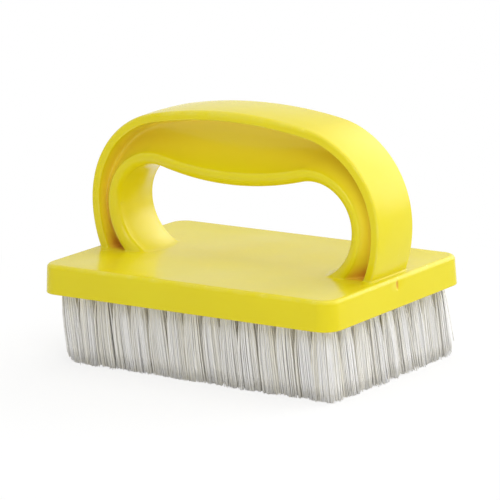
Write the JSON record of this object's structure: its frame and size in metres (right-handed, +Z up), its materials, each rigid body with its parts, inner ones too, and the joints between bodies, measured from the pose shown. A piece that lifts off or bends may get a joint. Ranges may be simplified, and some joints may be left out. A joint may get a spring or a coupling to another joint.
{
  "type": "grout brush",
  "caption": "Hand scrubbing brush with a rectangular moulded block, a closed arch handle and a dense field of stiff stapled bristle tufts.",
  "frame": {"origin": "middle of the plane that the bristle tips stand on", "axes": "+X along the brush and its handle, +Y across it, +Z up from the bristle tips towards the handle"},
  "size_m": [0.14, 0.095, 0.1021],
  "materials": {
    "moulded_back": "glossy injection-moulded yellow polypropylene with fine handling scuffs",
    "filament": "stiff off-white filament, slightly translucent, cut and worn at the tips",
    "anchor_wire": "drawn flat steel wire, plain"
  },
  "bodies": {
    "root": {"moulded_back": "moulded_back", "tuft_row_01": "filament", "tuft_row_02": "filament", "tuft_row_03": "filament", "tuft_row_04": "filament", "tuft_row_05": "filament", "tuft_row_06": "filament", "tuft_row_07": "filament", "tuft_row_08": "filament", "tuft_row_09": "filament", "tuft_row_10": "filament", "tuft_row_11": "filament", "tuft_row_12": "filament", "tuft_row_13": "filament", "tuft_row_14": "filament", "tuft_row_15": "filament", "anchor_row_01": "anchor_wire", "anchor_row_02": "anchor_wire", "anchor_row_03": "anchor_wire", "anchor_row_04": "anchor_wire", "anchor_row_05": "anchor_wire", "anchor_row_06": "anchor_wire", "anchor_row_07": "anchor_wire", "anchor_row_08": "anchor_wire", "anchor_row_09": "anchor_wire", "anchor_row_10": "anchor_wire", "anchor_row_11": "anchor_wire", "anchor_row_12": "anchor_wire", "anchor_row_13": "anchor_wire", "anchor_row_14": "anchor_wire", "anchor_row_15": "anchor_wire"}
  },
  "joints": []
}
